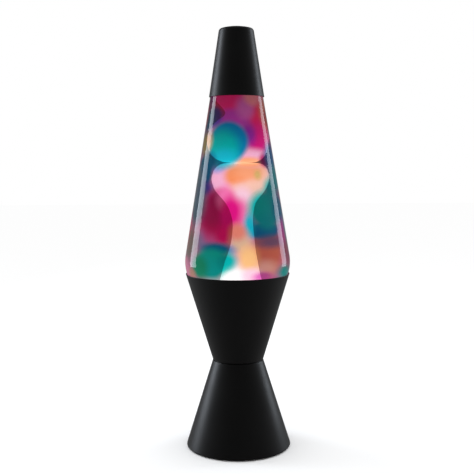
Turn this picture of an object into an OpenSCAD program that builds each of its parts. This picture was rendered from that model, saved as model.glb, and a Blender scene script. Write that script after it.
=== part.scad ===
// Motion lamp: a liquid-filled glass globe standing in an hourglass base of spun metal, under a tapered
// metal cap. All sizes are millimetres. +Z is up and z = 0 is the table. The front faces -Y, and the supply
// cord would leave the back of the foot at +Y.

/* [Base] */
// Outer radius of the foot at the table
foot_r = 46.8; // [46:0.1:50]
// Outer radius where the foot and the cup meet
waist_r = 22.4; // [22.2:0.1:24]
// Height of that waist
waist_z = 78.4; // [77:0.1:82]
// Outer radius of the cup's rim
rim_r = 45.75; // [45:0.05:48]
// Height of the cup's rim
rim_z = 155; // [153:0.1:157]
// Thickness of the spun sheet
sheet_t = 0.8; // [0.6:0.1:0.9]
// Height of the foot's rolled edge above the table, where the rubber feet lift it
foot_lift = 0.8; // [0.5:0.1:1]

/* [Globe] */
// Height of the underside of the glass
globe_floor_z = 136; // [135:0.1:138]
// Thickness of the glass
glass_t = 2.5; // [2:0.1:3]
// Height where the glass goes into the cap
cap_line_z = 308.4; // [305:0.1:312]
// Outer radius of the glass there
cap_line_r = 22.95; // [22.5:0.05:23.4]
// Height of the liquid's surface, hidden by the cap
fill_z = 326; // [322:0.5:328]
// Top of the bottle's lip
lip_z = 348; // [346:0.1:349]

/* [Cap] */
// Overall height of the lamp
lamp_h = 368.3; // [366:0.1:375]
// Outer radius of the cap's lower edge
cap_r = 23.95; // [23.8:0.05:25]
// Outer radius of the cap's top edge
cap_top_r = 14.9; // [14.5:0.1:16]
// Thickness of the cap's sheet
cap_t = 0.7; // [0.5:0.05:0.75]

/* [Bulb and socket] */
// Radius of the bulb's glass
bulb_r = 17.5; // [15:0.1:18]
// Length of the bulb from its contact to its top
bulb_l = 57; // [54:0.5:58]
// Height of the bulb's contact when it is screwed home
bulb_z = 66; // [65.6:0.1:67]
// Radius over the bulb's thread, an intermediate 17 mm cap
screw_r = 8.3; // [8.1:0.05:8.35]
// Outer radius of the lampholder
socket_r = 12.5; // [12:0.1:12.6]
// Height of the lampholder's underside
socket_z = 56.8; // [56:0.1:57.5]
// Height of the lampholder's mouth
socket_top_z = 83; // [82:0.1:84]

/* [Wax] */
// Radius of the column at its neck
neck_r = 6.5; // [5:0.1:7.4]
// Radius of the column's rising head
head_r = 18.8; // [17:0.1:19.5]
// Radius of the blob above the column
blob_r = 20; // [17:0.1:20.5]
// Radius of the blob under the cap
top_blob_r = 17; // [14:0.1:17.4]

/* [Cord inlet] */
// Radius of the hole in the grommet, for the supply cord
cord_hole_r = 3.2; // [2.5:0.1:3.4]
// Height of the grommet on the foot's wall
grommet_z = 15; // [14:0.5:20]

/* [Hidden] */
$fn = 96;

ARC_STEPS = 8;
black_paint = [0.07, 0.07, 0.075];
brass = [0.80, 0.62, 0.30];
zinc = [0.72, 0.73, 0.75];
wax_white = [0.97, 0.85, 0.86];

cap_rise = 2.1;            // of the cap's domed top above its top edge

// Slopes of the cones, in radius per height
foot_slope = (waist_r - foot_r) / waist_z;
cup_slope = (rim_r - waist_r) / (rim_z - waist_z);
cap_slope = (cap_top_r - cap_r) / (lamp_h - cap_rise - cap_line_z);
globe_slope = -0.1655;
seat_slope = 0.36;         // the globe's lower cone, which leans in more than the cup does

// Radial thickness of a sloping wall
foot_wall = sheet_t * sqrt(1 + pow(foot_slope, 2));
cup_wall = sheet_t * sqrt(1 + pow(cup_slope, 2));
cap_wall = cap_t * sqrt(1 + pow(cap_slope, 2));
globe_wall = glass_t * sqrt(1 + pow(globe_slope, 2));
seat_wall = glass_t * sqrt(1 + pow(seat_slope, 2));

seat_gap = 0.3;            // between the glass and the cup's rim that carries it
seat_r = rim_r - cup_wall - seat_gap;
waist_hole_r = 14;         // opening that the lampholder passes through
waist_step = 0.6;          // height of the foot's pressed top above its shoulder, a shadow gap under the cup
shoulder_w = 0.85;         // width of that shoulder
hem_r = foot_r - 2.6;      // inner radius of the foot's rolled edge
hem_z = 3.4;               // top of that edge, which the cover rests on
hem_fillet = 0.85;
cover_z = hem_z + 0.2;
cover_t = 1.8;
feet_r = 33;               // circle that the rubber feet stand on

function foot_line(z) = foot_r + foot_slope * z;
function cup_line(z) = waist_r + cup_slope * (z - waist_z);
function cap_line(z) = cap_r + cap_slope * (z - cap_line_z);
function globe_line(z) = cap_line_r + globe_slope * (z - cap_line_z);
function seat_line(z) = seat_r + seat_slope * (z - rim_z);

// Height where the globe's upper and lower cones would meet, with both walls moved in by these amounts
function shoulder_z(upper_in, lower_in) =
    (globe_line(0) - upper_in - seat_line(0) + lower_in) / (seat_slope - globe_slope);

// ---- Outline helpers -----------------------------------------------------------------------------------

function unit(v) = v / norm(v);

// Points of one corner of an outline, as an arc of the given radius
function corner(before, at, after, fillet) =
    let (
        u = unit(before - at),
        v = unit(after - at),
        half = acos(u * v) / 2,
        centre = at + unit(u + v) * fillet / sin(half),
        from = at + u * fillet / tan(half) - centre,
        to = at + v * fillet / tan(half) - centre,
        start = atan2(from.y, from.x),
        turn = (atan2(to.y, to.x) - start + 540) % 360 - 180
    )
    [for (k = [0:ARC_STEPS]) let (a = start + turn * k / ARC_STEPS) centre + fillet * [cos(a), sin(a)]];

function flat(p) = [p.x, p.y];

// Outline whose points are [radius, height, fillet]; a point with no fillet stays sharp
function rounded(outline) =
    let (n = len(outline))
    [for (i = [0:n - 1]) let (p = outline[i])
        each is_undef(p[2]) || p[2] == 0
            ? [flat(p)]
            : corner(flat(outline[(i + n - 1) % n]), flat(p), flat(outline[(i + 1) % n]), p[2])];

// Points of a shallow dome from its rim to the axis
function dome(r, rim_z, rise, steps = 4) =
    [for (k = [steps - 1:-1:0]) [r * k / steps, rim_z + rise * (1 - pow(k / steps, 2))]];

module lathe(outline) {
    rotate_extrude() polygon(rounded(outline));
}

// Points of a smooth curve through the points of p
function smooth(p, steps = 4) =
    let (last = len(p) - 2)
    [
        for (i = [0:last], k = [0:i < last ? steps - 1 : steps])
            let (a = p[max(i - 1, 0)], b = p[i], c = p[i + 1], d = p[min(i + 2, last + 1)], t = k / steps)
            b + ((c - a) * t + (2 * a - 5 * b + 4 * c - d) * pow(t, 2)
                + (3 * b - a - 3 * c + d) * pow(t, 3)) / 2
    ];

// Faces of a grid of points that closes on itself both ways, split into triangles
function wrapped_faces(rows, columns) = [
    for (i = [0:rows - 1], k = [0:columns - 1])
        let (
            a = i * columns + k,
            b = i * columns + (k + 1) % columns,
            c = (i + 1) % rows * columns + (k + 1) % columns,
            d = (i + 1) % rows * columns + k
        )
        each [[a, b, c], [a, c, d]]
];

// Egg-shaped solid of revolution
module egg(r, half_h) {
    rotate_extrude() polygon([for (a = [-90:6:90]) [r * cos(a), half_h * sin(a)]]);
}

module around(count, r) {
    for (i = [0:count - 1]) rotate([0, 0, i * 360 / count]) translate([r, 0, 0]) children();
}

// ---- Base ----------------------------------------------------------------------------------------------

screw_circle_r = 17.8;     // waist screws
screw_hole_r = 1.6;
waist_screw_r = 1.45;
nut_r = 3.15;              // over the corners
nut_t = 2.4;
vent_hole_r = 2.2;
groove_r = 4.6;            // of the grommet, where the foot's wall sits in it
grommet_clear = 0.1;
wall_angle = atan(-foot_slope);

// Puts the grommet's axis square to the foot's wall, at its middle
module on_foot_wall() {
    translate([0, foot_line(grommet_z) - foot_wall / 2, grommet_z]) rotate([wall_angle - 90, 0, 0])
        children();
}

module waist_holes() {
    around(4, screw_circle_r) translate([0, 0, waist_z - 5]) cylinder(r = screw_hole_r, h = 10);
}

module foot_shell() {
    shoulder_top_z = waist_z - waist_step;
    color(black_paint)
        difference() {
            lathe([
                [foot_line(foot_lift), foot_lift, hem_fillet],
                [waist_r, shoulder_top_z, 0.45],
                [waist_r - shoulder_w, shoulder_top_z],
                [waist_r - shoulder_w - 0.4, waist_z],
                [waist_hole_r, waist_z],
                [waist_hole_r, waist_z - sheet_t],
                [waist_r - shoulder_w - 0.4, waist_z - sheet_t],
                [foot_line(shoulder_top_z - sheet_t) - foot_wall, shoulder_top_z - sheet_t],
                [foot_line(hem_z) - foot_wall, hem_z],
                [hem_r, hem_z, 0.6],
                [hem_r, foot_lift, hem_fillet]
            ]);
            waist_holes();
            on_foot_wall() cylinder(r = groove_r + grommet_clear, h = 12, center = true);
        }
}

module base_cup() {
    floor_z = waist_z + sheet_t;
    rim_fillet = sheet_t * 0.4;
    color(black_paint)
        difference() {
            lathe([
                [cup_line(waist_z), waist_z, 0.8],
                [rim_r, rim_z, rim_fillet],
                [rim_r - cup_wall, rim_z, rim_fillet],
                [cup_line(floor_z) - cup_wall, floor_z, 0.8],
                [waist_hole_r, floor_z],
                [waist_hole_r, waist_z]
            ]);
            waist_holes();
        }
}

module bottom_cover() {
    top_z = cover_z + cover_t;
    edge_gap = foot_wall + 0.25;
    color([0.1, 0.1, 0.1])
        difference() {
            lathe([
                [0, cover_z],
                [foot_line(cover_z) - edge_gap, cover_z, 0.4],
                [foot_line(top_z) - edge_gap, top_z, 0.4],
                [0, top_z]
            ]);
            // ventilation holes in two rings
            for (ring = [[8, 13], [16, 22]])
                rotate([0, 0, 11.25]) around(ring[0], ring[1])
                    translate([0, 0, cover_z - 1]) cylinder(r = vent_hole_r, h = cover_t + 2, $fn = 48);
        }
}

module rubber_feet() {
    color([0.16, 0.16, 0.16])
        rotate([0, 0, 45]) around(4, feet_r)
            lathe([[0, 0], [5, 0, 0.8], [5.6, cover_z, 0.3], [0, cover_z]]);
}

module cord_grommet() {
    color([0.12, 0.12, 0.12])
        on_foot_wall()
            lathe([
                [cord_hole_r, -5, 0.4],
                [4.8, -5, 0.6],
                [5.8, -1.1, 0.5],
                [groove_r, -1.1],
                [groove_r, 0.65],
                [6.6, 0.65, 0.4],
                [6.2, 2.8, 1],
                [cord_hole_r, 3, 0.5]
            ]);
}

// ---- Lampholder and wiring -----------------------------------------------------------------------------

strap_t = 1.2;
strap_half_w = 5;
leg_x = socket_r + 0.3;
socket_floor_z = socket_z + 8;
socket_bore_r = 9.15;
socket_screw_x = 7.5;
socket_screw_r = 1.65;

module socket_bracket() {
    ear_z = waist_z - sheet_t;
    ear_x = 20.5;
    bend = 1;
    color(zinc)
        difference() {
            rotate([90, 0, 0]) linear_extrude(height = 2 * strap_half_w, center = true)
                polygon(rounded([
                    [-ear_x, ear_z],
                    [-leg_x, ear_z, bend],
                    [-leg_x, socket_z, bend / 4],
                    [leg_x, socket_z, bend / 4],
                    [leg_x, ear_z, bend],
                    [ear_x, ear_z],
                    [ear_x, ear_z - strap_t],
                    [leg_x + strap_t, ear_z - strap_t, bend / 4],
                    [leg_x + strap_t, socket_z - strap_t, bend],
                    [-leg_x - strap_t, socket_z - strap_t, bend],
                    [-leg_x - strap_t, ear_z - strap_t, bend / 4],
                    [-ear_x, ear_z - strap_t]
                ]));
            waist_holes();
            around(2, socket_screw_x) translate([0, 0, socket_z - 3])
                cylinder(r = socket_screw_r + 0.15, h = 4);
        }
}

// Pan head on top of a shank, with a cross recess; the head's underside is at z = 0
module pan_screw(shank_r, shank_l, head_r, head_h) {
    difference() {
        union() {
            lathe([[0, 0], [head_r, 0], [head_r, head_h, head_h * 0.6], [0, head_h]]);
            translate([0, 0, -shank_l]) cylinder(r = shank_r, h = shank_l + 0.1);
        }
        for (turn = [0, 90])
            rotate([0, 0, turn]) translate([0, 0, head_h]) cube([head_r * 1.1, 0.6, 1.6], center = true);
    }
}

module waist_screws() {
    color(zinc)
        around(4, screw_circle_r) translate([0, 0, waist_z + sheet_t])
            pan_screw(waist_screw_r, 7.2, 2.75, 1.8);
}

module waist_nuts() {
    stack = sheet_t + strap_t;
    color(zinc)
        for (i = [0:3]) {
            // the bracket's ears lie under two of the four screws
            under = i % 2 == 0 ? stack : sheet_t;
            rotate([0, 0, i * 90]) translate([screw_circle_r, 0, waist_z - under - nut_t])
                difference() {
                    cylinder(r = nut_r, h = nut_t, $fn = 6);
                    translate([0, 0, -1]) cylinder(r = waist_screw_r + 0.05, h = nut_t + 2, $fn = 48);
                }
        }
}

module socket_screws() {
    color(zinc)
        around(2, socket_screw_x) translate([0, 0, socket_z - strap_t]) rotate([180, 0, 0])
            pan_screw(socket_screw_r, strap_t + 5, 2.9, 2);
}

module socket_body() {
    color([0.93, 0.91, 0.86])
        difference() {
            lathe([
                [0, socket_z],
                [socket_r, socket_z, 1.2],
                [socket_r, socket_top_z, 1.2],
                [socket_bore_r, socket_top_z, 0.6],
                [socket_bore_r, socket_floor_z, 0.5],
                [0, socket_floor_z]
            ]);
            around(2, socket_screw_x) translate([0, 0, socket_z - 1])
                cylinder(r = socket_screw_r + 0.05, h = 6.5);
        }
}

thread_pitch = 2.822;      // nine turns to the inch
thread_depth = 0.5;
thread_gap = 0.35;         // between the bulb's thread and the socket's
thread_sides = 24;
pitch_steps = 6;

// Radius at angle a and height z of a rolled thread that stands out (side 1) or in (side -1) from plain_r
// and dies away over the first and last turn
function thread_r(plain_r, side, a, z, z0, z1) =
    let (
        fade = max(0, min(1, (z - z0) / thread_pitch, (z1 - z) / thread_pitch)),
        wave = cos(360 * (z - bulb_z) / thread_pitch - a)
    )
    plain_r + side * fade * thread_depth / 2 * (1 + side * wave);

// Thin sleeve with a rolled thread. plain_r is its inner radius away from the thread, and tuck is how far
// its lower end is drawn in.
module threaded_sleeve(plain_r, wall, side, z0, z1, tuck = 0) {
    steps = ceil((z1 - z0) / thread_pitch * pitch_steps);
    heights = [for (k = [0:steps]) z0 + (z1 - z0) * k / steps];
    function inner_r(a, z) =
        thread_r(plain_r, side, a, z, z0, z1) - tuck * max(0, 1 - (z - z0) / (2 * tuck + 0.01));
    function at(r, a, z) = [r * cos(a), r * sin(a), z];
    polyhedron(
        points = [
            for (i = [0:thread_sides - 1]) let (a = 360 * i / thread_sides) each [
                for (k = [steps:-1:0]) at(inner_r(a, heights[k]) + wall, a, heights[k]),
                for (z = heights) at(inner_r(a, z), a, z)
            ]
        ],
        faces = wrapped_faces(thread_sides, 2 * len(heights))
    );
}

module socket_shell() {
    color(brass)
        threaded_sleeve(screw_r + thread_gap, 0.3, -1, socket_floor_z + 1.2, socket_top_z - 1.6);
}

module socket_contact() {
    color(brass)
        lathe([
            [0, socket_floor_z],
            [3.6, socket_floor_z],
            [3.6, socket_floor_z + 0.5, 0.2],
            [1.8, socket_floor_z + 0.5],
            [1.2, bulb_z - 0.1, 0.3],
            [0, bulb_z - 0.1]
        ]);
}

wire_r = 1.25;
wire_x = 5;
wire_y = 9.2;
bend_r = 8;
run_z = 22;                // height of the wires' level stretch
wire_end_y = 26;
connector_y = 20;
connector_l = 14;
connector_mouth_l = 8;     // how deep the wire goes into it

// One insulated lead: down from the lampholder at y = start_y, round a bend and back towards the grommet
module lead_wire(start_y) {
    translate([0, start_y, run_z + bend_r])
        cylinder(r = wire_r, h = socket_z - run_z - bend_r, $fn = 48);
    translate([0, start_y + bend_r, run_z + bend_r]) rotate([90, 0, -90]) rotate([0, 0, -90])
        rotate_extrude(angle = 90) translate([bend_r, 0]) circle(r = wire_r, $fn = 48);
    translate([0, start_y + bend_r, run_z]) rotate([-90, 0, 0])
        cylinder(r = wire_r, h = wire_end_y - start_y - bend_r, $fn = 48);
}

module lead_wire_live() {
    color([0.08, 0.08, 0.08]) translate([-wire_x, 0, 0]) lead_wire(wire_y);
}

module lead_wire_neutral() {
    color([0.9, 0.9, 0.88]) translate([wire_x, 0, 0]) lead_wire(-wire_y);
}

module wire_connectors() {
    color([0.85, 0.35, 0.1])
        for (side = [-1, 1])
            translate([side * wire_x, connector_y, run_z]) rotate([-90, 0, 0])
                lathe([
                    [wire_r + 0.1, 0],
                    [4.2, 0, 0.5],
                    [2.8, connector_l, 1],
                    [0, connector_l],
                    [0, connector_mouth_l],
                    [wire_r + 0.1, connector_mouth_l]
                ]);
}

// ---- Bulb ----------------------------------------------------------------------------------------------

shell_z = bulb_z + 4;      // bottom of the bulb's screw shell
shell_top_z = shell_z + 14.4;
shell_wall = 0.35;
shell_tuck = 0.8;
shell_in_r = screw_r - thread_depth - shell_wall;
bulb_neck_r = shell_in_r - 0.15;
bulb_centre_z = bulb_z + bulb_l - bulb_r;
bulb_glass_t = 0.6;
press_top_z = shell_z + 19;    // top of the stem, where the lead-in wires come out of it
press_r = 2;
post_r = 0.3;
post_x = 5.5;
filament_z = bulb_centre_z - 2;
filament_r = 0.25;

module bulb_contact() {
    color(zinc)
        lathe([[0, bulb_z], [1.6, bulb_z, 0.4], [2.6, bulb_z + 1.4], [0, bulb_z + 1.4]]);
}

module bulb_insulator() {
    plug_r = shell_in_r - shell_tuck - 0.05;
    color([0.06, 0.05, 0.09])
        lathe([
            [0, bulb_z + 1.4],
            [3, bulb_z + 1.4, 0.3],
            [plug_r, shell_z - 0.1, 0.4],
            [plug_r, shell_z + 0.9],
            [0, shell_z + 0.9]
        ]);
}

module bulb_screw_shell() {
    color([0.85, 0.83, 0.78])
        threaded_sleeve(shell_in_r, shell_wall, 1, shell_z, shell_top_z, shell_tuck);
}

// Outline of the bulb's glass moved in by t: a neck that flares smoothly into a ball
function bulb_outline(t) =
    let (
        neck = bulb_neck_r - t,
        ball = [for (a = [-42:6:90]) [(bulb_r - t) * cos(a), bulb_centre_z + (bulb_r - t) * sin(a)]]
    )
    concat(
        smooth([
            [neck, shell_z + 6],
            [neck, shell_top_z - 2],
            [neck, shell_top_z + 1],
            [neck + 2, shell_top_z + 5.5],
            ball[0],
            ball[1]
        ]),
        [for (k = [2:len(ball) - 1]) ball[k]]
    );

module bulb_glass() {
    inner = bulb_outline(bulb_glass_t);
    color([0.9, 0.9, 0.86, 0.4])
        lathe(concat(bulb_outline(0), [for (k = [len(inner) - 1:-1:0]) inner[k]]));
}

// Places its children along the two lead-in wires' feet
module at_posts() {
    for (side = [-1, 1]) translate([side * press_r / 2, 0, press_top_z]) children();
}

module bulb_stem() {
    flare_r = bulb_neck_r - bulb_glass_t - 0.05;
    color([0.85, 0.88, 0.9, 0.6])
        difference() {
            lathe([
                [0, shell_z + 6],
                [flare_r, shell_z + 6],
                [flare_r, shell_z + 7],
                [press_r + 0.8, shell_z + 11, 3],
                [press_r, press_top_z, 0.5],
                [0, press_top_z]
            ]);
            at_posts() cylinder(r = post_r + 0.03, h = 8, center = true, $fn = 24);
        }
}

// Two lead-in wires that stand in the stem and spread to hold the filament's ends
module bulb_lead_ins() {
    spread = post_x - press_r / 2;
    rise = filament_z - press_top_z - 1;
    color(zinc)
        for (side = [-1, 1]) {
            translate([side * press_r / 2, 0, press_top_z - 3.9])
                cylinder(r = post_r, h = 4.9, $fn = 24);
            translate([side * press_r / 2, 0, press_top_z + 1]) rotate([0, side * atan(spread / rise), 0])
                cylinder(r = post_r, h = norm([spread, rise]), $fn = 24);
        }
}

// Fine coiled wire, as a plain arch that stands on the ends of the lead-in wires
module bulb_filament() {
    color([1, 0.8, 0.4])
        translate([0, 0, filament_z + post_r + 0.05]) rotate([90, 0, 0])
            rotate_extrude(angle = 180) translate([post_x, 0]) circle(r = filament_r, $fn = 24);
}

// ---- Globe ---------------------------------------------------------------------------------------------

floor_t = 4;
inner_floor_z = globe_floor_z + floor_t;
outer_shoulder_z = shoulder_z(0, 0);
inner_shoulder_z = shoulder_z(globe_wall, seat_wall);
shoulder_fillet = 35;
neck_in_z = lip_z - 16;    // where the glass turns in to the bottle's neck
neck_bore_r = 8.2;
bottle_neck_r = 12.4;
lip_r = 13.3;
crown_r = 13.9;            // of the crown cap's top
crown_skirt_r = 16;
crown_t = 0.3;
crown_flutes = 21;

// Space inside the glass from the floor to the lip, moved in by film
function inner_outline(film) = [
    [0, inner_floor_z + film],
    [seat_line(inner_floor_z) - seat_wall - film, inner_floor_z + film, 4],
    [seat_line(inner_shoulder_z) - seat_wall - film, inner_shoulder_z, shoulder_fillet - glass_t],
    [globe_line(neck_in_z) - globe_wall - film, neck_in_z, 5],
    [neck_bore_r - film, neck_in_z + 5, 3],
    [neck_bore_r - film, lip_z]
];

module globe_glass() {
    color([0.75, 0.2, 0.5, 0.5])
        difference() {
            lathe([
                [0, globe_floor_z + 1.5],
                [seat_line(globe_floor_z) - 9, globe_floor_z, 3],
                [seat_line(globe_floor_z), globe_floor_z, 6],
                [seat_line(outer_shoulder_z), outer_shoulder_z, shoulder_fillet],
                [globe_line(neck_in_z), neck_in_z, 6],
                [bottle_neck_r, neck_in_z + 6, 3],
                [bottle_neck_r, lip_z - 4.6, 0.4],
                [lip_r, lip_z - 4, 0.4],
                [lip_r, lip_z, 1.2],
                [0, lip_z]
            ]);
            lathe(concat(inner_outline(0), [[neck_bore_r, lip_z + 1], [0, lip_z + 1]]));
        }
}

module crown_cap() {
    top_z = lip_z + 1.1;
    color([0.78, 0.72, 0.5])
        difference() {
            lathe([
                [0, top_z],
                [crown_r, top_z, 1.4],
                [crown_skirt_r, lip_z - 4.9],
                [crown_skirt_r - crown_t, lip_z - 5],
                [crown_r - crown_t, top_z - crown_t, 1.2],
                [0, top_z - crown_t]
            ]);
            // flutes pressed into the skirt
            around(crown_flutes, crown_skirt_r + 1.6) translate([0, 0, lip_z - 6]) rotate([0, -20, 0])
                cylinder(r = 1.6, h = 6.4, $fn = 32);
        }
}

module crown_liner() {
    color([0.85, 0.85, 0.82])
        translate([0, 0, lip_z]) cylinder(r = 12.2, h = 0.75);
}

film = 0.05;               // clearance between the wax, the liquid and what they touch
pool_z = inner_floor_z + 6;
coil_ring_r = 22;
coil_r = 2.6;
coil_wire_r = 0.6;
coil_z = inner_floor_z + coil_r + coil_wire_r + 0.1;
column_x = 2.5;
head_z = 237;
blob_x = 0.5;
blob_z = 270.6;
blob_half_h = 19.5;
top_blob_x = 2;
top_blob_z = 308;

// Column of wax on its own axis, from the mound that it rises out of to the top of its head
function column_outline(grow) = [
    [0, pool_z - 2],
    for (p = smooth([
        [24, pool_z - 2],
        [17, pool_z + 2],
        [12.3, 158],
        [neck_r + 1, 183],
        [neck_r, 198],
        [neck_r + 2.2, 213],
        [head_r - 2, head_z - 9],
        [head_r, head_z],
        [head_r - 3.4, head_z + 9.6],
        [0, head_z + 13.4]
    ])) [p.x + (p.x > 0 ? grow : 0), p.y + (p.x > 0 ? 0 : grow)]
];

module coil_tunnel(film) {
    translate([0, 0, coil_z]) rotate_extrude() translate([coil_ring_r, 0])
        circle(r = coil_r + coil_wire_r + film);
}

module column_solid(grow) {
    top_r = seat_line(pool_z) - seat_wall - 5 + grow;
    translate([column_x, 0, 0]) lathe(column_outline(grow));
    lathe([
        [0, inner_floor_z + film - grow],
        [seat_line(inner_floor_z) - seat_wall - 5 + grow, inner_floor_z + film - grow, 1],
        [top_r, pool_z + grow, 3],
        [0, pool_z + grow]
    ]);
}

// Two eggs, and a third that joins them on one side
module blob_solid(grow) {
    translate([blob_x, 0, blob_z]) egg(blob_r + grow, blob_half_h + grow);
    translate([top_blob_x, 0, top_blob_z]) egg(top_blob_r + grow, top_blob_r - 0.5 + grow);
    translate([blob_x + 7.5, 0, blob_z + blob_half_h + 1]) egg(11 + grow, 8 + grow);
}

module wax_column() {
    color(wax_white)
        difference() {
            column_solid(0);
            coil_tunnel(film);
        }
}

module wax_upper_blob() {
    color(wax_white) blob_solid(0);
}

module liquid() {
    color([0.6, 0.85, 0.9, 0.35])
        difference() {
            lathe([
                for (p = inner_outline(film)) if (p.y < fill_z) p,
                [globe_line(fill_z) - globe_wall - film, fill_z],
                [0, fill_z]
            ]);
            column_solid(film);
            blob_solid(film);
            coil_tunnel(film);
        }
}

coil_turns = 30;
coil_steps = 7;            // rings of points in each turn
coil_sides = 5;

// Direction from the coil's ring to its wire, and one point of the wire's surface, at step i
function coil_out(i) =
    let (round = 360 * i / (coil_turns * coil_steps), wind = 360 * i / coil_steps)
    [cos(wind) * cos(round), cos(wind) * sin(round), sin(wind)];
function coil_centre(i) =
    let (round = 360 * i / (coil_turns * coil_steps))
    [coil_ring_r * cos(round), coil_ring_r * sin(round), coil_z] + coil_r * coil_out(i);
function coil_point(i, side) =
    let (
        out = coil_out(i),
        along = unit(coil_centre(i + 0.5) - coil_centre(i - 0.5)),
        across = cross(along, out),
        a = 360 * side / coil_sides
    )
    coil_centre(i) + coil_wire_r * (cos(a) * out + sin(a) * across);

// Wire wound into a spring whose ends meet in a ring
module heating_coil() {
    n = coil_turns * coil_steps;
    color(zinc)
        polyhedron(
            points = [for (i = [0:n - 1], side = [0:coil_sides - 1]) coil_point(i, side)],
            faces = wrapped_faces(n, coil_sides)
        );
}

// ---- Cap -----------------------------------------------------------------------------------------------

module top_cap() {
    top_z = lamp_h - cap_rise;
    color(black_paint)
        difference() {
            lathe(concat(
                [[0, cap_line_z], [cap_r, cap_line_z, 0.3], [cap_top_r, top_z, 3]],
                dome(cap_top_r, top_z, cap_rise)
            ));
            lathe(concat(
                [
                    [0, cap_line_z - 1],
                    [cap_line(cap_line_z - 1) - cap_wall, cap_line_z - 1],
                    [cap_line(top_z - cap_t) - cap_wall, top_z - cap_t, 2.4]
                ],
                dome(cap_line(top_z - cap_t) - cap_wall, top_z - cap_t, cap_rise)
            ));
        }
}

foot_shell();
base_cup();
bottom_cover();
rubber_feet();
cord_grommet();
socket_bracket();
waist_screws();
waist_nuts();
socket_screws();
socket_body();
socket_shell();
socket_contact();
lead_wire_live();
lead_wire_neutral();
wire_connectors();
bulb_contact();
bulb_insulator();
bulb_screw_shell();
bulb_glass();
bulb_stem();
bulb_lead_ins();
bulb_filament();
globe_glass();
crown_cap();
crown_liner();
liquid();
wax_column();
wax_upper_blob();
heating_coil();
top_cap();
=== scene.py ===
from math import acos, cos, hypot, pi, radians, sin, tan

import bpy
from mathutils import Matrix, Vector


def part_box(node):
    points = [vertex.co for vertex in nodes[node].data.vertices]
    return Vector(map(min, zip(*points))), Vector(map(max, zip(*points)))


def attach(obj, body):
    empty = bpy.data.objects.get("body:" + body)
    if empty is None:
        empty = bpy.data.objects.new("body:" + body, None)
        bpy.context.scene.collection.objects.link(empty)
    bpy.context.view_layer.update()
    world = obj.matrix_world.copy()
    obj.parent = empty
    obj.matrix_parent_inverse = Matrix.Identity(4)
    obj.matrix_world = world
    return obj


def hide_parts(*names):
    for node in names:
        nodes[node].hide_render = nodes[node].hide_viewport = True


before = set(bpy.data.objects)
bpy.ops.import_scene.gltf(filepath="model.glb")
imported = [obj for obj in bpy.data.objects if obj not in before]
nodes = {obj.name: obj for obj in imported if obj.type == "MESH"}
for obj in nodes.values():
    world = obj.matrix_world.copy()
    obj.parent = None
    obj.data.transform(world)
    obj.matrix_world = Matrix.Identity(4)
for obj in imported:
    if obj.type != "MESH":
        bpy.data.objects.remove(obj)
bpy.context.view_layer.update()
MM = 0.001
SHARP_ANGLE = radians(35)
LATHE_SIDES = 160             # round the glass and the liquid
WAX_SIDES = 96

# ---- Places: the CAD's boxes, and a few of its sizes ----------------------------------------------------

CUP_LOW, CUP_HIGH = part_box("base_cup")
WAIST_Z = CUP_LOW.z
WAIST_R = 22.4 * MM           # the cup's outer radius there
CUP_RIM_R, CUP_RIM_Z = CUP_HIGH.x, CUP_HIGH.z
HALF_SHEET = 0.42 * MM        # half the cup's thickness, measured level
CAP_LINE_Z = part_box("top_cap")[0].z
GLOBE_LOW, GLOBE_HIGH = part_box("globe_glass")
FILL_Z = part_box("liquid")[1].z

# The glass: a tall cone that stands, over a rounded shoulder, on a lower cone seated in the cup
TALL_R = 22.95 * MM           # outer radius of the tall cone at the cap's edge
TALL_SLOPE = -0.1655          # its radius per height
SEAT_R = 44.61 * MM           # outer radius of the lower cone at the cup's rim
SEAT_SLOPE = 0.36             # its radius per height
GLASS_T = 2.5 * MM
GLASS_FLOOR_T = 4 * MM
SHOULDER_FILLET = 35 * MM


def tall_cone(z, inset=0.0):
    """Radius of the tall cone at height z, moved in from the glass's outside by inset."""
    return TALL_R + TALL_SLOPE * (z - CAP_LINE_Z) - inset * hypot(1, TALL_SLOPE)


def seat_cone(z, inset=0.0):
    """Radius of the lower cone at height z, moved in in the same way."""
    return SEAT_R + SEAT_SLOPE * (z - CUP_RIM_Z) - inset * hypot(1, SEAT_SLOPE)


def shoulder(inset=0.0):
    """(radius, height, fillet) of the outline's corner where the two cones meet."""
    z = (tall_cone(0, inset) - seat_cone(0, inset)) / (SEAT_SLOPE - TALL_SLOPE)
    return (seat_cone(z, inset), z, SHOULDER_FILLET - inset)


def glass_radius(z):
    """Outer radius of the glass at height z. Below the shoulder it is the widest radius."""
    return min(tall_cone(z), GLOBE_HIGH.x)


# ---- Node helpers ---------------------------------------------------------------------------------------

# Where the Mix node keeps its factor, its two colours and its mixed colour
MIX_FACTOR, MIX_COLOUR_A, MIX_COLOUR_B, MIX_COLOUR_OUT = 0, 6, 7, 2


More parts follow.
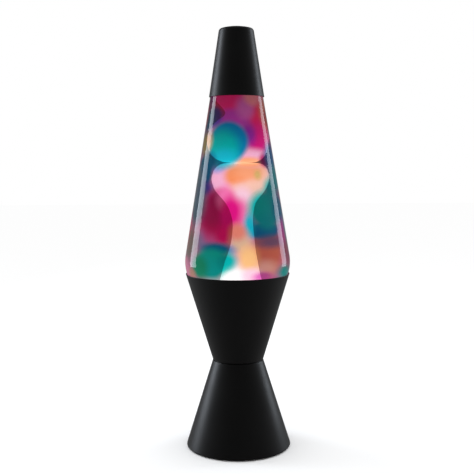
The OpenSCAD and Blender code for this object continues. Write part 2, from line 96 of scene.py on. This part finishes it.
class Nodes:
    """The node tree of a material or the world, with short ways to add and link its nodes."""

    def __init__(self, owner):
        owner.use_nodes = True
        self.tree = owner.node_tree
        self.tree.nodes.clear()
        kind = "World" if isinstance(owner, bpy.types.World) else "Material"
        self.output = self.add(f"ShaderNodeOutput{kind}")

    def add(self, kind, values=(), **settings):
        """Adds a node. values are (input, value or output) pairs, and settings are the node's own."""
        node = self.tree.nodes.new(kind)
        for name, value in settings.items():
            setattr(node, name, value)
        for socket, value in values:
            if isinstance(value, bpy.types.NodeSocket):
                self.tree.links.new(value, node.inputs[socket])
            else:
                node.inputs[socket].default_value = value
        return node

    def place(self):
        """Where on the piece this is, in metres in the lamp's frame."""
        return self.add("ShaderNodeTexCoord").outputs["Object"]

    def height(self):
        """The height of this place above the table, in metres."""
        return self.add("ShaderNodeSeparateXYZ", [("Vector", self.place())]).outputs["Z"]

    def noise(self, scale, detail=2.0, stretch=(1, 1, 1)):
        """Noise between 0 and 1, with scale features in a metre, drawn out along the axes by stretch."""
        squeezed = self.add("ShaderNodeVectorMath", [(0, self.place()), (1, [1 / s for s in stretch])],
                            operation="MULTIPLY")
        values = [("Vector", squeezed.outputs[0]), ("Scale", scale), ("Detail", detail)]
        return self.add("ShaderNodeTexNoise", values).outputs["Fac"]

    def ramp(self, value, low, high, to_low=0.0, to_high=1.0, smooth=False):
        """value from low..high mapped to to_low..to_high, and held there."""
        values = [("Value", value), ("From Min", low), ("From Max", high), ("To Min", to_low),
                  ("To Max", to_high)]
        kind = "SMOOTHSTEP" if smooth else "LINEAR"
        return self.add("ShaderNodeMapRange", values, interpolation_type=kind).outputs["Result"]

    def inside(self, low, high):
        """1 nearer the axis than the line from low to high, two (radius, height) points, and 0 beyond it."""
        across = self.add("ShaderNodeVectorMath", [(0, self.place()), (1, (1, 1, 0))], operation="MULTIPLY")
        radius = self.add("ShaderNodeVectorMath", [(0, across.outputs[0])], operation="LENGTH")
        line = self.ramp(self.height(), low[1], high[1], low[0], high[0])
        return self.math("LESS_THAN", radius.outputs["Value"], line)

    def math(self, operation, a, b):
        return self.add("ShaderNodeMath", [(0, a), (1, b)], operation=operation).outputs[0]

    def times(self, a, b):
        return self.math("MULTIPLY", a, b)

    def levels(self, height, stops):
        """A value by height, from (height in mm, value) stops, the lowest first."""
        low, high = stops[0][0], stops[-1][0]
        top = max(value for _, value in stops)
        factor = self.ramp(height, low * MM, high * MM)
        node = self.add("ShaderNodeValToRGB", [("Fac", factor)])
        elements = node.color_ramp.elements
        while len(elements) < len(stops):
            elements.new(0.5)
        for element, (stop, value) in zip(elements, stops):
            element.position = (stop - low) / (high - low)
            element.color = (value / top, value / top, value / top, 1)
        return self.times(node.outputs["Color"], top)

    def mix(self, factor, a, b):
        """The colours a and b mixed, all b where factor is 1."""
        values = [(MIX_FACTOR, factor), (MIX_COLOUR_A, a), (MIX_COLOUR_B, b)]
        node = self.add("ShaderNodeMix", values, data_type="RGBA")
        return node.outputs[MIX_COLOUR_OUT]

    def bump(self, height, distance, strength=1.0):
        """A normal tilted as if the surface stood up by height times distance, in metres."""
        values = [("Height", height), ("Distance", distance), ("Strength", strength)]
        return self.add("ShaderNodeBump", values).outputs["Normal"]

    def principled(self, values):
        """The material's one shader, with these values on its own sockets."""
        shader = self.add("ShaderNodeBsdfPrincipled", values)
        self.tree.links.new(shader.outputs[0], self.output.inputs["Surface"])
        return shader


def rgb(red, green, blue):
    """A colour from its sRGB values, 0 to 255."""
    def linear(c):
        c /= 255
        return c / 12.92 if c <= 0.04045 else ((c + 0.055) / 1.055) ** 2.4
    return (linear(red), linear(green), linear(blue), 1)


def dress(material, *names):
    """Gives CAD nodes this material."""
    for name in names:
        nodes[name].data.materials.clear()
        nodes[name].data.materials.append(material)


def shade_smooth(obj):
    """Smooth shading, except over edges sharper than SHARP_ANGLE."""
    for face in obj.data.polygons:
        face.use_smooth = True
    obj.data.set_sharp_from_angle(angle=SHARP_ANGLE)


# ---- Materials ------------------------------------------------------------------------------------------

ENAMEL = (0.0010, 0.0010, 0.0012, 1)
DUSTY_ENAMEL = (0.0022, 0.0023, 0.0026, 1)
BARE_ALUMINIUM = (0.78, 0.78, 0.8, 1)
# The black inside the cup's rim ends at a depth between these two
BLACK_TO, BARE_FROM = 4 * MM, 9 * MM


def satin_black(name, bare_inside=False):
    """Satin black enamel baked on spun sheet: fine orange peel, faint spinning rings and a little dust.
    Where bare_inside, only a band of it reaches inside the cup's rim, and the rest is bare aluminium."""
    material = bpy.data.materials.new(name)
    n = Nodes(material)
    peel = n.noise(1400, detail=1)
    rings = n.noise(900, detail=1, stretch=(40, 40, 1))
    cloud = n.noise(35, detail=3)
    surface = n.math("ADD", peel, n.times(rings, 0.6))
    colour = n.mix(cloud, ENAMEL, DUSTY_ENAMEL)
    roughness = n.ramp(cloud, 0.3, 0.7, 0.35, 0.41)
    bare = 0.0
    if bare_inside:
        inner = n.inside((WAIST_R - HALF_SHEET, WAIST_Z), (CUP_RIM_R - HALF_SHEET, CUP_RIM_Z))
        below_black = n.ramp(n.height(), CUP_RIM_Z - BARE_FROM, CUP_RIM_Z - BLACK_TO, 1, 0, smooth=True)
        bare = n.times(inner, below_black)
        colour = n.mix(bare, colour, BARE_ALUMINIUM)
        roughness = n.ramp(bare, 0, 1, roughness, n.ramp(rings, 0.3, 0.7, 0.3, 0.42))
    n.principled([
        ("Base Color", colour),
        ("Metallic", bare),
        ("Roughness", roughness),
        ("Specular IOR Level", 0.5),
        ("Normal", n.bump(surface, 0.00002, 0.35)),
    ])
    return material


def plain(name, colour, roughness, metallic=0.0, grain=600, depth=0.00003, spread=0.15, ior=1.5):
    """A material with fine grain, depth metres deep: its colour and roughness wander by spread of their
    own value."""
    material = bpy.data.materials.new(name)
    n = Nodes(material)
    fine = n.noise(grain, detail=3)
    broad = n.noise(60, detail=3)
    dark = [c * (1 - spread) for c in colour[:3]] + [1]
    light = [min(c * (1 + spread), 1) for c in colour[:3]] + [1]
    n.principled([
        ("Base Color", n.mix(broad, dark, light)),
        ("Metallic", metallic),
        ("Roughness", n.ramp(fine, 0.3, 0.7, roughness * (1 - spread), min(roughness * (1 + spread), 1))),
        ("IOR", ior),
        ("Normal", n.bump(fine, depth, 0.3)),
    ])
    return material


def clear_glass(name, glow=0.0):
    """Clear glass. glow is the strength of a painted warm glow that stands in for the filament's light in the
    glass.
    """
    material = bpy.data.materials.new(name)
    n = Nodes(material)
    n.principled([
        ("Base Color", (0.97, 0.985, 0.98, 1)),
        ("Transmission Weight", 1.0),
        ("Roughness", 0.01),
        ("IOR", 1.5),
        # painted glow of the filament's light, as emission on the glass
        ("Emission Color", (1.0, 0.72, 0.42, 1)),
        ("Emission Strength", glow),
    ])
    return material


def hot_filament():
    """Tungsten, white hot."""
    material = bpy.data.materials.new("hot_filament")
    n = Nodes(material)
    n.principled([
        ("Base Color", (0.2, 0.2, 0.2, 1)),
        ("Metallic", 1.0),
        ("Roughness", 0.4),
        ("Emission Color", (1.0, 0.66, 0.3, 1)),
        ("Emission Strength", 40.0),
    ])
    return material


# Colours of the transparent coating
CRIMSON = rgb(255, 45, 130)
ROSE = rgb(255, 35, 105)
MAGENTA = rgb(234, 20, 140)
HOT_PINK = rgb(250, 125, 185)
PLUM = rgb(190, 8, 105)
WINE = rgb(205, 25, 110)
PURPLE = rgb(205, 70, 185)
VIOLET = rgb(155, 45, 170)
INDIGO = rgb(98, 74, 190)
LILAC = rgb(165, 165, 225)
BLUE = rgb(5, 135, 188)
OCEAN = rgb(10, 135, 170)
TEAL = rgb(0, 184, 180)
AQUA = rgb(0, 206, 194)
GREEN = rgb(20, 185, 140)
CYAN = rgb(20, 185, 205)
SALMON = rgb(255, 150, 160)
MAUVE = rgb(228, 112, 192)
BRICK = rgb(232, 136, 118)
ORANGE = rgb(250, 152, 102)
APRICOT = rgb(252, 168, 125)
AMBER = rgb(252, 198, 136)
OLIVE = rgb(215, 180, 110)
PEACH = rgb(252, 200, 182)
BEIGE = rgb(222, 184, 158)
PINK = rgb(252, 184, 216)
BLUSH = rgb(253, 208, 226)
SLATE = rgb(104, 154, 156)
STONE = rgb(150, 150, 148)
HEATHER = rgb(164, 92, 132)
DUSK = rgb(143, 112, 155)
WHITE = rgb(255, 252, 252)

# Spots sprayed on the glass, each over those before it: degrees round from the front towards +X, height
# above the table and radius in mm, how tall the spot is for its width, softness of its edge, and colour
SPOTS = [
    # head of the column
    (14, 238, 26, 1.0, 0.35, PEACH),
    (-27, 238, 13, 1.0, 0.35, PINK),
    (-33, 249, 9, 0.6, 0.6, LILAC),
    (-1, 241, 10, 0.9, 0.45, ORANGE),
    (20, 245, 13, 0.6, 0.6, APRICOT),
    (31, 242, 3.5, 1.2, 0.7, OLIVE),
    (12, 228, 13, 0.6, 0.6, PEACH),
    (-59, 243, 11, 1.5, 0.2, OCEAN),
    (-50, 230, 8, 0.8, 0.6, INDIGO),
    # top
    (0, 294, 21, 0.6, 0.5, PURPLE),
    (50, 290, 12, 1.4, 0.5, ROSE),
    (-18, 306, 19, 0.6, 0.4, CRIMSON),
    (-12, 289, 12, 0.6, 0.6, PURPLE),
    (-49, 291, 9, 1.0, 0.4, INDIGO),
    (18, 298, 8, 1.2, 0.6, MAUVE),
    (36, 307, 8, 0.9, 0.5, SALMON),
    (42, 271, 13, 1.2, 0.45, MAGENTA),
    (20, 276, 7, 1.4, 0.6, VIOLET),
    (26, 256, 17, 0.42, 0.5, PINK),
    (18, 252, 15, 0.3, 0.5, APRICOT),
    (-16, 269.5, 17.5, 1.0, 0.16, BLUE),
    (-27, 265, 15.5, 1.0, 0.4, TEAL),
    (-20, 256, 11, 0.7, 0.6, CYAN),
    (-49, 254, 8, 1.0, 0.4, OCEAN),
    (48, 254, 6, 1.0, 0.5, PLUM),
    # left of the neck
    (-36, 186, 14, 0.8, 0.5, LILAC),
    (-27, 192, 13, 0.6, 0.5, MAUVE),
    (-14, 194, 9, 1.1, 0.5, MAGENTA),
    (-26, 210, 21, 0.85, 0.35, MAGENTA),
    (-33, 207, 10, 1.1, 0.7, WINE),
    (-24, 220, 11, 0.8, 0.6, PLUM),
    (6, 223, 9, 1.0, 0.6, BLUSH),
    (4, 213, 7, 1.3, 0.6, HOT_PINK),
    (-16, 223, 8, 1.2, 0.6, HOT_PINK),
    (-8, 212, 8.5, 1.5, 0.5, MAGENTA),
    # right of the neck
    (34, 177, 18, 0.95, 0.4, BRICK),
    (34, 195, 19, 0.38, 0.3, BLUE),
    (54, 229, 9, 1.1, 0.5, TEAL),
    (40, 212.5, 17.5, 0.95, 0.3, TEAL),
    (44, 185.5, 18, 0.27, 0.75, DUSK),
    (30, 164, 13, 0.5, 0.7, PEACH),
    (15, 201, 5, 2.0, 0.6, CYAN),
    # foot of the column
    (3, 186, 9, 1.1, 0.6, BEIGE),
    (0, 195, 7, 1.0, 0.6, BRICK),
    (-12, 157, 22, 0.6, 0.5, WHITE),
    (12, 173, 9, 1.2, 0.6, AMBER),
    (-24, 180, 15, 0.35, 0.5, BLUE),
    (-30, 168, 18, 0.72, 0.3, AQUA),
    (-11, 171, 8, 0.9, 0.6, TEAL),
    (-46, 164, 10, 1.0, 0.5, GREEN),
    (-62, 158, 7, 0.7, 0.6, BEIGE),
    (0, 156, 13, 0.5, 0.5, WHITE),
    (15, 158, 9, 0.7, 0.6, BLUSH),
    (28, 157, 9, 0.45, 0.6, MAUVE),
    (66, 159, 13, 0.5, 0.6, TEAL),
    # round the sides and the back
    (-66, 270, 9, 1.2, 0.5, AMBER),
    (-74, 288, 11, 1.0, 0.5, BLUE),
    (-80, 304, 10, 0.8, 0.5, VIOLET),
    (-68, 218, 14, 1.5, 0.5, SLATE),
    (-78, 238, 10, 1.4, 0.5, SLATE),
    (-74, 182, 16, 0.9, 0.5, STONE),
    (-84, 162, 14, 0.7, 0.5, PINK),
    (-118, 236, 14, 1.1, 0.4, ORANGE),
    (-108, 196, 20, 1.0, 0.4, MAGENTA),
    (-108, 290, 14, 1.1, 0.4, ROSE),
    (-135, 262, 17, 1.0, 0.25, TEAL),
    (-130, 168, 20, 0.9, 0.4, TEAL),
    (-148, 214, 22, 1.0, 0.4, PURPLE),
    (-160, 292, 13, 1.0, 0.5, AMBER),
    (-172, 176, 18, 1.0, 0.5, ORANGE),
    (66, 256, 9, 1.4, 0.5, BLUE),
    (76, 238, 12, 1.0, 0.5, TEAL),
    (68, 212, 11, 1.3, 0.5, OCEAN),
    (72, 190, 11, 1.2, 0.5, PURPLE),
    (76, 174, 13, 0.9, 0.5, HEATHER),
    (82, 294, 13, 1.1, 0.4, BRICK),
    (104, 194, 19, 1.0, 0.4, TEAL),
    (118, 254, 15, 1.1, 0.4, ORANGE),
    (128, 222, 20, 1.1, 0.3, MAGENTA),
    (134, 286, 15, 1.0, 0.4, CRIMSON),
    (140, 172, 20, 0.9, 0.5, AMBER),
    (166, 248, 19, 1.0, 0.25, BLUE),
    (178, 212, 14, 1.0, 0.5, PEACH),
]
COAT_BASE = rgb(235, 150, 195)
# Painted glow of the coat: emission that stands in for the lamp's light scattered in it, by height in mm,
# dimmer higher up
PAINTED_COAT_GLOW = [(155, 0.2), (166, 0.17), (190, 0.13), (250, 0.11), (275, 0.06), (305, 0.02)]


def coat_colour(n):
    """The coating's colour: COAT_BASE with the spots over it."""
    place = n.place()
    colour = COAT_BASE
    for degrees_round, height, radius, tall, soft, spot_colour in SPOTS:
        z = height * MM
        around = radians(degrees_round)
        r = glass_radius(z)
        centre = (r * sin(around), -r * cos(around), z)
        away = n.add("ShaderNodeVectorMath", [(0, place), (1, centre)], operation="SUBTRACT")
        squashed = n.add("ShaderNodeVectorMath", [(0, away.outputs[0]), (1, (1, 1, 1 / tall))],
                         operation="MULTIPLY")
        distance = n.add("ShaderNodeVectorMath", [(0, squashed.outputs[0])], operation="LENGTH")
        edge = radius * MM
        cover = n.ramp(distance.outputs["Value"], edge * (1 - soft), edge * (1 + soft), 1, 0, smooth=True)
        colour = n.mix(cover, colour, spot_colour)
    return colour


def tinted_glass():
    """Thick glass with the transparent coating. The lamp's light scattered in the coat is painted in as
    emission of the coat's colour, fading with height.
    """
    material = bpy.data.materials.new("tinted_glass")
    n = Nodes(material)
    colour = coat_colour(n)
    n.principled([
        ("Base Color", colour),
        ("Transmission Weight", 1.0),
        ("Roughness", 0.02),
        ("IOR", 1.5),
        # painted glow: the coat's colour given as emission, standing in for scattered lamp light
        ("Emission Color", colour),
        ("Emission Strength", n.levels(n.height(), PAINTED_COAT_GLOW)),
    ])
    return material


def lamp_liquid():
    """Clear liquid that darkens what is behind it."""
    material = bpy.data.materials.new("lamp_liquid")
    n = Nodes(material)
    n.principled([
        ("Base Color", (1, 1, 1, 1)),
        ("Transmission Weight", 1.0),
        ("Roughness", 0.0),
        ("IOR", 1.33),
    ])
    absorb = n.add("ShaderNodeVolumeAbsorption", [("Color", (0.0, 0.0, 0.0, 1)), ("Density", 12.0)])
    n.tree.links.new(absorb.outputs[0], n.output.inputs["Volume"])
    return material


def wax_with_painted_glow(name, brightness):
    """White wax whose light from the bulb below is painted in as emission. brightness is a list of (height in
    mm, brightness of the painted light), the lowest first.
    """
    material = bpy.data.materials.new(name)
    n = Nodes(material)
    n.principled([
        ("Base Color", (0.5, 0.5, 0.5, 1)),
        ("Roughness", 0.5),
        # painted light: the bulb's light through the wax, as emission fading with height
        ("Emission Color", (1, 1, 1, 1)),
        ("Emission Strength", n.levels(n.height(), brightness)),
    ])
    return material


# ---- Meshes ---------------------------------------------------------------------------------------------

def add_mesh(name, points, faces):
    """Adds a new object with this mesh, shaded smooth."""
    mesh = bpy.data.meshes.new(name)
    mesh.from_pydata(points, [], faces)
    mesh.update()
    obj = bpy.data.objects.new(name, mesh)
    bpy.context.scene.collection.objects.link(obj)
    shade_smooth(obj)
    return obj


def stack_faces(rings, sides):
    """Faces of a stack of rings of points, with the point before them and the point after them."""
    last = rings * sides + 1
    faces = []
    for k in range(sides):
        after = (k + 1) % sides
        faces.append((0, 1 + after, 1 + k))
        for ring in range(rings - 1):
            a, b = 1 + ring * sides, 1 + (ring + 1) * sides
            faces.append((a + k, a + after, b + after, b + k))
        top = 1 + (rings - 1) * sides
        faces.append((top + k, top + after, last))
    return faces


def stack(name, rings, sides):
    """Solid through level rings of (height, centre's x, radius), closed to a point at each end."""
    first, last = rings[0], rings[-1]
    points = [(first[1], 0, first[0])]
    for z, x, r in rings[1:-1]:
        points += [(x + r * cos(2 * pi * k / sides), r * sin(2 * pi * k / sides), z) for k in range(sides)]
    points.append((last[1], 0, last[0]))
    return add_mesh(name, points, stack_faces(len(rings) - 2, sides))


def lathe(name, outline):
    """Solid of revolution from (radius, height) points, the first and last of them on the axis."""
    return stack(name, [(z, 0, r) for r, z in outline], LATHE_SIDES)


def fillet(before, at, after, radius):
    """Points of the arc of this radius that rounds the outline's corner, about 1 mm apart."""
    before, at, after = Vector(before), Vector(at), Vector(after)
    u, v = (before - at).normalized(), (after - at).normalized()
    half = acos(max(-1, min(1, u.dot(v)))) / 2
    centre = at + (u + v).normalized() * radius / sin(half)
    start = at + u * radius / tan(half) - centre
    turn = start.angle_signed(at + v * radius / tan(half) - centre)
    steps = max(4, round(abs(turn) * radius / MM))
    made = []
    for k in range(steps + 1):
        spoke = start.copy()
        spoke.rotate(Matrix.Rotation(-turn * k / steps, 2))
        made.append(tuple(centre + spoke))
    return made


def rounded(corners):
    """Outline from (radius, height, fillet) corners; a corner without a fillet stays sharp."""
    points = []
    for i, (r, z, *radius) in enumerate(corners):
        if radius:
            points += fillet(corners[i - 1][:2], (r, z), corners[i + 1][:2], radius[0])
        else:
            points.append((r, z))
    return points


# ---- Globe ----------------------------------------------------------------------------------------------

def glass_outline():
    """The glass from the middle of its underside, round the bottle's lip, to the middle of its floor."""
    under_z, lip_z = GLOBE_LOW.z, GLOBE_HIGH.z
    floor_z = under_z + GLASS_FLOOR_T
    neck_z = lip_z - 16 * MM
    neck_r, lip_r, bore_r = 12.4 * MM, 13.3 * MM, 8.2 * MM
    hollow = 1.5 * MM
    standing_ring = 9 * MM
    return rounded([
        (0, under_z + hollow),
        (seat_cone(under_z) - standing_ring, under_z, 3 * MM),
        (seat_cone(under_z), under_z, 6 * MM),
        shoulder(),
        (tall_cone(neck_z), neck_z, 6 * MM),
        (neck_r, neck_z + 6 * MM, 3 * MM),
        (neck_r, lip_z - 4.6 * MM, 0.4 * MM),
        (lip_r, lip_z - 4 * MM, 0.4 * MM),
        (lip_r, lip_z, 1.2 * MM),
        (bore_r, lip_z),
        (bore_r, neck_z + 5 * MM, 3 * MM),
        (tall_cone(neck_z, GLASS_T), neck_z, 5 * MM),
        shoulder(GLASS_T),
        (seat_cone(floor_z, GLASS_T), floor_z, 4 * MM),
        (0, floor_z),
    ])


def liquid_outline():
    """The liquid, let a little way into the glass all round so that light crosses one surface there."""
    overlap = 0.3 * MM
    inset = GLASS_T - overlap
    floor_z = GLOBE_LOW.z + GLASS_FLOOR_T - overlap
    return rounded([
        (0, floor_z),
        (seat_cone(floor_z, inset), floor_z, 4 * MM),
        shoulder(inset),
        (tall_cone(FILL_Z, inset), FILL_Z),
        (0, FILL_Z),
    ])


# ---- Wax ------------------------------------------------------------------------------------------------

def smooth_rings(rings, steps=6):
    """Rings along a Catmull-Rom curve through the given ones, with steps of them from each to the next."""
    made = []
    last = len(rings) - 1
    for i in range(last):
        a, b, c, d = (Vector(rings[k]) for k in (max(i - 1, 0), i, i + 1, min(i + 2, last)))
        for k in range(steps):
            t = k / steps
            made.append(b + ((c - a) * t + (2 * a - 5 * b + 4 * c - d) * t ** 2
                             + (3 * b - a - 3 * c + d) * t ** 3) / 2)
    made.append(Vector(rings[last]))
    return made


def loft(name, rings):
    """Solid through level rings of (height, centre's x, radius) in mm."""
    return stack(name, [(z * MM, x * MM, max(r, 0) * MM) for z, x, r in rings], WAX_SIDES)


# Level rings of the wax, from the bottom up: height, the centre's x and radius, in mm
POOL_RINGS = [(140.2, 0, 0), (140.3, 0, 20), (140.6, 0, 31), (142.5, 0, 33.4), (144.8, 0, 31.5)]
COLUMN_RINGS = [
    (146.4, 0.5, 25), (149, 1.5, 18), (153, 2.0, 14.3), (158, 2.1, 12.5), (171, 2.9, 9.5), (183, 3.6, 7.7),
    (198, 3.5, 6.7), (208, 2.9, 7.7), (215, 2.2, 9.6), (220, 1.9, 12.3), (227, 1.8, 16.6), (235.5, 2.0, 18.9),
    (242, 2.2, 18.2), (246.5, 2.4, 16.4), (249.2, 2.6, 13.6), (250.3, 2.6, 9.5), (250.6, 2.6, 0),
]
BLOB_RINGS = [
    (250.8, 2.0, 0), (251.0, 2.0, 8.5), (252.0, 1.7, 12.2), (254.5, 1.2, 15.6), (258.5, 0.7, 18.2),
    (264, 0.5, 19.7), (270, 0.5, 20.2), (276, 0.8, 19.7), (282, 1.3, 17.9), (287, 2.6, 15.3),
    (291.5, 4.6, 12.8), (295, 5.0, 12.8), (299, 4.2, 14.2), (304, 3.0, 16.0), (310, 2.2, 16.8),
    (316, 2.0, 15.4), (321, 2.0, 11.0), (323.6, 2.0, 5.6), (324.3, 2.0, 0),
]


# ---- Finishes of the CAD nodes, and the globe's own pieces ----------------------------------------------

def dress_cad_nodes():
    """Gives every CAD node that stays in the picture its finish."""
    dress(satin_black("satin_black"), "foot_shell", "top_cap")
    dress(satin_black("satin_black_outside", bare_inside=True), "base_cup")
    dress(plain("black_board", rgb(28, 28, 28), 0.8), "bottom_cover")
    dress(plain("black_rubber", rgb(24, 24, 25), 0.7), "rubber_feet", "cord_grommet")
    dress(plain("zinc_plate", rgb(190, 192, 196), 0.35, metallic=1), "socket_bracket", "waist_screws",
          "waist_nuts", "socket_screws", "bulb_lead_ins", "heating_coil")
    dress(plain("porcelain", rgb(232, 228, 216), 0.25), "socket_body")
    dress(plain("brass_sheet", rgb(214, 172, 98), 0.35, metallic=1), "socket_shell", "socket_contact")
    dress(plain("black_wire", rgb(18, 18, 18), 0.45), "lead_wire_live")
    dress(plain("white_wire", rgb(225, 224, 218), 0.45), "lead_wire_neutral")
    dress(plain("orange_plastic", rgb(220, 110, 40), 0.35), "wire_connectors")
    dress(plain("tin_solder", rgb(176, 178, 182), 0.4, metallic=1), "bulb_contact")
    dress(plain("dark_glass", rgb(16, 15, 26), 0.1), "bulb_insulator")
    dress(plain("bulb_aluminium", rgb(212, 210, 204), 0.3, metallic=1), "bulb_screw_shell")
    dress(hot_filament(), "bulb_filament")
    dress(plain("crown_tin", rgb(205, 190, 150), 0.3, metallic=1), "crown_cap")
    dress(plain("liner", rgb(222, 222, 214), 0.6), "crown_liner")
    # the bulb's glass gets a painted warm glow of the filament's light
    dress(clear_glass("bulb_glass", glow=0.22), "bulb_glass")
    dress(clear_glass("stem_glass"), "bulb_stem")


def add_globe_piece(piece, node, material):
    """Makes piece stand for a CAD node of the globe: gives it this material, hangs it on the globe's body and
    hides the node.
    """
    piece.data.materials.append(material)
    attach(piece, "globe")
    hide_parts(node)


# Painted light of the wax by height in mm: emission standing in for the bulb's light from below, dimmer
# higher up
PAINTED_COLUMN_GLOW = [(140, 1.1), (158, 1.05), (180, 0.95), (240, 0.9), (251, 0.78)]
PAINTED_BLOB_GLOW = [(251, 1.0), (258, 0.82), (266, 0.6), (275, 0.42), (286, 0.32), (305, 0.22)]


def add_globe():
    """The glass with its coat, and the liquid and the wax in it."""
    glass = lathe("tinted_globe", glass_outline())
    add_globe_piece(glass, "globe_glass", tinted_glass())
    liquid = lathe("lamp_liquid", liquid_outline())
    add_globe_piece(liquid, "liquid", lamp_liquid())
    column = loft("wax_mound_and_column", POOL_RINGS + smooth_rings(COLUMN_RINGS))
    add_globe_piece(column, "wax_column", wax_with_painted_glow("column_wax", PAINTED_COLUMN_GLOW))
    blob = loft("wax_blobs", smooth_rings(BLOB_RINGS))
    add_globe_piece(blob, "wax_upper_blob", wax_with_painted_glow("blob_wax", PAINTED_BLOB_GLOW))


# ---- Studio ---------------------------------------------------------------------------------------------

# Radiance of the studio's walls in reflections and through glass
DARK_SIDE = 0.06
PALE_SIDE = 0.2
THROUGH_GLASS = 0.06

# The two strip lights, in metres
STRIP_COLOUR = (0.84, 0.91, 1.0)
STRIP_DISTANCE = 0.8
STRIP_LOW, STRIP_HIGH = 0.02, 0.95

# The camera, in metres, degrees and, for the lens, mm
CAMERA_PLACE = (0, -0.7271, 0.2552)
CAMERA_TILT = 5.374
CAMERA_ROLL = 0.33
CAMERA_LENS = 63.1

LIGHT_BOUNCES = 24            # the glass, the liquid and the bulb need many


def add_world():
    """White to the camera and to matt surfaces. In reflections it is a studio, dark behind the camera and
    paler towards the sides and the back, and through glass it is dim."""
    world = bpy.data.worlds.new("studio")
    bpy.context.scene.world = world
    n = Nodes(world)
    path = n.add("ShaderNodeLightPath")
    direction = n.add("ShaderNodeSeparateXYZ", [("Vector", n.add("ShaderNodeTexCoord").outputs["Generated"])])
    walls = n.ramp(direction.outputs["Y"], -1, 0.3, DARK_SIDE, PALE_SIDE)
    matt = n.math("MAXIMUM", path.outputs["Is Camera Ray"], path.outputs["Is Diffuse Ray"])
    mirrored = n.times(walls, path.outputs["Is Glossy Ray"])
    through = n.times(path.outputs["Is Transmission Ray"], THROUGH_GLASS)
    light = n.math("MAXIMUM", n.math("ADD", mirrored, matt), through)
    background = n.add("ShaderNodeBackground", [("Color", (1, 1, 1, 1)), ("Strength", light)])
    n.tree.links.new(background.outputs[0], n.output.inputs["Surface"])


def add_floor():
    """A plain pale floor, which reflections and glass don't see."""
    half = 4.0
    corners = [(-half, -half, 0), (half, -half, 0), (half, half, 0), (-half, half, 0)]
    floor = add_mesh("floor", corners, [(0, 1, 2, 3)])
    material = bpy.data.materials.new("floor")
    n = Nodes(material)
    n.principled([("Base Color", (0.985, 0.985, 0.985, 1)), ("Roughness", 1.0), ("Specular IOR Level", 0.0)])
    floor.data.materials.append(material)
    floor.visible_glossy = False
    floor.visible_transmission = False


def add_strip(name, degrees_round, width, radiance):
    """A tall strip light that stands degrees_round from the front, towards +X, facing the lamp's axis."""
    height = STRIP_HIGH - STRIP_LOW
    light = bpy.data.lights.new(name, "AREA")
    light.shape = "RECTANGLE"
    light.size = width
    light.size_y = height
    light.energy = radiance * pi * width * height
    light.color = STRIP_COLOUR
    obj = bpy.data.objects.new(name, light)
    around = radians(degrees_round)
    obj.location = (STRIP_DISTANCE * sin(around), -STRIP_DISTANCE * cos(around), (STRIP_LOW + STRIP_HIGH) / 2)
    aim = Vector((-obj.location.x, -obj.location.y, 0))
    obj.rotation_euler = aim.to_track_quat("-Z", "Y").to_euler()
    obj.visible_camera = False
    obj.visible_transmission = False
    bpy.context.scene.collection.objects.link(obj)


def add_camera():
    """The photo's view: from in front, a little above the lamp's middle and tilted down."""
    data = bpy.data.cameras.new("camera")
    data.sensor_width = 36
    data.lens = CAMERA_LENS
    camera = bpy.data.objects.new("camera", data)
    camera.location = CAMERA_PLACE
    camera.rotation_euler = (radians(90 - CAMERA_TILT), radians(CAMERA_ROLL), 0)
    bpy.context.scene.collection.objects.link(camera)
    bpy.context.scene.camera = camera


dress_cad_nodes()
add_globe()
add_camera()
add_world()
add_floor()
add_strip("left_strip", degrees_round=-111, width=0.32, radiance=3.7)
add_strip("right_strip", degrees_round=119, width=0.28, radiance=2.5)

scene = bpy.context.scene
scene.view_settings.view_transform = "Standard"
scene.cycles.use_denoising = True
scene.cycles.max_bounces = LIGHT_BOUNCES
scene.cycles.transmission_bounces = LIGHT_BOUNCES
scene.cycles.transparent_max_bounces = 16
